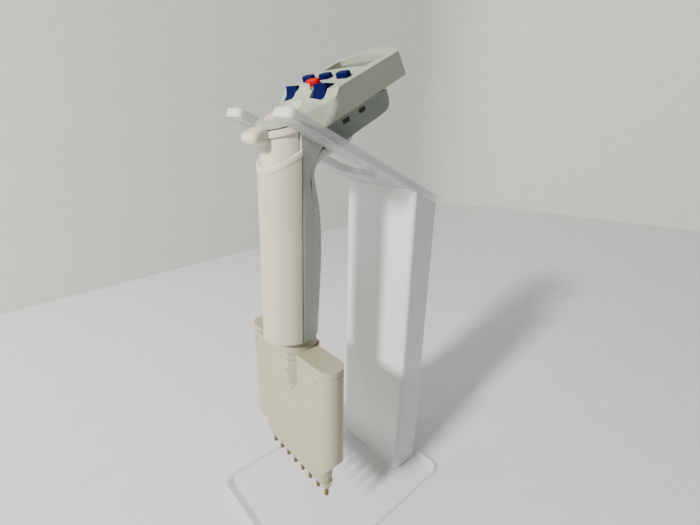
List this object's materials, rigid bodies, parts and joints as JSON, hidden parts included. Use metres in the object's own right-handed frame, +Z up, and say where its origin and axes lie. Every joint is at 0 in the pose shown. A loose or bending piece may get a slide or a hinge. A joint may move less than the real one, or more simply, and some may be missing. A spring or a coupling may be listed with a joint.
{
  "type": "multichannel pipette on a bench stand",
  "caption": "Electronic multichannel pipette with a display head, thumb ejector and swivelling lower part, hung by its neck in the fork of a clear bench stand.",
  "frame": {"origin": "centre of the underside of the stand's base", "axes": "+Z up, +X to the right seen from the front, -Y towards the front, where the pipette hangs"},
  "size_m": [0.1056, 0.1386, 0.313],
  "materials": {
    "base": "clear acrylic, polished",
    "fork": "clear acrylic, polished",
    "column": "gloss white",
    "front_shell": "satin, warm off-white",
    "rear_shell": "satin, grey",
    "head": "satin, light grey",
    "window": "polished",
    "display": "reflective liquid crystal",
    "board": "solder mask",
    "mat": "matt",
    "pack": "shrink sleeve",
    "contacts": "matt, black",
    "blue_keys": "satin, navy blue",
    "red_key": "satin, red",
    "ejector": "satin, off-white",
    "steel": "ground",
    "motor": "satin, black",
    "deck": "satin",
    "push_rod": "satin, ivory",
    "housing": "satin, cream",
    "cones": "amber, translucent",
    "bar": "milled",
    "pistons": "polished"
  },
  "bodies": {
    "stand": {"base_plate": "base", "column": "column", "fork_plate": "fork"},
    "pipette": {"front_shell": "front_shell", "rear_shell": "rear_shell", "head_case": "head", "battery_bay": "rear_shell", "display_window": "window", "display_module": "display", "circuit_board": "board", "key_mat": "mat", "battery_pack": "pack", "charge_contacts": "contacts", "motor": "motor", "motor_deck": "deck", "deck_screws": "steel", "spindle_bearing": "steel", "swivel_spigot": "deck", "ejector_spring": "steel"},
    "select_key_left": {"select_key_left": "blue_keys"},
    "select_key_middle": {"select_key_middle": "blue_keys"},
    "select_key_right": {"select_key_right": "blue_keys"},
    "reset_key": {"reset_key": "red_key"},
    "start_key_left": {"start_key_left": "blue_keys"},
    "start_key_right": {"start_key_right": "blue_keys"},
    "battery_cover": {"battery_cover": "rear_shell"},
    "ejector": {"ejector_button": "ejector", "ejector_sleeve": "ejector", "ejector_paddle": "ejector", "ejector_rod": "steel"},
    "spindle": {"spindle": "steel"},
    "drive": {"push_rod": "push_rod"},
    "lower_part": {"housing_cap": "housing", "housing_front": "housing", "housing_rear": "housing", "housing_screws": "steel", "cylinder_block": "push_rod", "guide_rods": "steel", "piston_seals": "mat", "tip_cone_1": "cones", "tip_cone_2": "cones", "tip_cone_3": "cones", "tip_cone_4": "cones", "tip_cone_5": "cones", "tip_cone_6": "cones", "tip_cone_7": "cones", "tip_cone_8": "cones"},
    "pistons": {"piston_bar": "bar", "piston_1": "pistons", "piston_2": "pistons", "piston_3": "pistons", "piston_4": "pistons", "piston_5": "pistons", "piston_6": "pistons", "piston_7": "pistons", "piston_8": "pistons"},
    "comb": {"ejector_comb": "housing", "comb_frame": "steel"}
  },
  "joints": [
    {"name": "lift_off", "type": "slide", "parent": "stand", "child": "pipette", "axis": [0, -0.9107, 0.4131], "range_m": [0, 0.075]},
    {"name": "select_key_left_press", "type": "slide", "parent": "pipette", "child": "select_key_left", "axis": [0, -0.4399, 0.898], "range_m": [-0.0012, 0], "stiffness_N_per_m": 800, "springref_m": 0.001},
    {"name": "select_key_middle_press", "type": "slide", "parent": "pipette", "child": "select_key_middle", "axis": [0, -0.4399, 0.898], "range_m": [-0.0012, 0], "stiffness_N_per_m": 800, "springref_m": 0.001},
    {"name": "select_key_right_press", "type": "slide", "parent": "pipette", "child": "select_key_right", "axis": [0, -0.4399, 0.898], "range_m": [-0.0012, 0], "stiffness_N_per_m": 800, "springref_m": 0.001},
    {"name": "reset_key_press", "type": "slide", "parent": "pipette", "child": "reset_key", "axis": [0, -0.4399, 0.898], "range_m": [-0.0012, 0], "stiffness_N_per_m": 800, "springref_m": 0.001},
    {"name": "start_key_left_press", "type": "slide", "parent": "pipette", "child": "start_key_left", "axis": [0, -0.4399, 0.898], "range_m": [-0.0012, 0], "stiffness_N_per_m": 800, "springref_m": 0.001},
    {"name": "start_key_right_press", "type": "slide", "parent": "pipette", "child": "start_key_right", "axis": [0, -0.4399, 0.898], "range_m": [-0.0012, 0], "stiffness_N_per_m": 800, "springref_m": 0.001},
    {"name": "battery_cover_slide", "type": "slide", "parent": "pipette", "child": "battery_cover", "axis": [0, 0.898, 0.4399], "range_m": [0, 0.03]},
    {"name": "eject", "type": "slide", "parent": "pipette", "child": "ejector", "axis": [0, 0, -1], "range_m": [0, 0.008], "stiffness_N_per_m": 400, "springref_m": -0.01, "deforming": ["ejector_spring"]},
    {"name": "drive_slide", "type": "slide", "parent": "pipette", "child": "drive", "axis": [0, 0, 1], "range_m": [0, 0.016]},
    {"name": "spindle_turn", "type": "hinge", "parent": "pipette", "child": "spindle", "pos_m": [0, -0.0317, 0.18], "axis": [0, 0, 1], "range_deg": [0, 720]},
    {"name": "swivel", "type": "hinge", "parent": "pipette", "child": "lower_part", "pos_m": [0, -0.0317, 0.14], "axis": [0, 0, 1], "range_deg": [-180, 180]},
    {"name": "piston_slide", "type": "slide", "parent": "lower_part", "child": "pistons", "axis": [0, 0, 1], "range_m": [0, 0.016]},
    {"name": "comb_slide", "type": "slide", "parent": "lower_part", "child": "comb", "axis": [0, 0, -1], "range_m": [0, 0.008]}
  ],
  "couplings": [
    {"joint": "spindle_turn", "follows": "drive_slide", "rad_per_m": 785.39},
    {"joint": "piston_slide", "follows": "drive_slide", "ratio": 1},
    {"joint": "comb_slide", "follows": "eject", "ratio": 1}
  ]
}
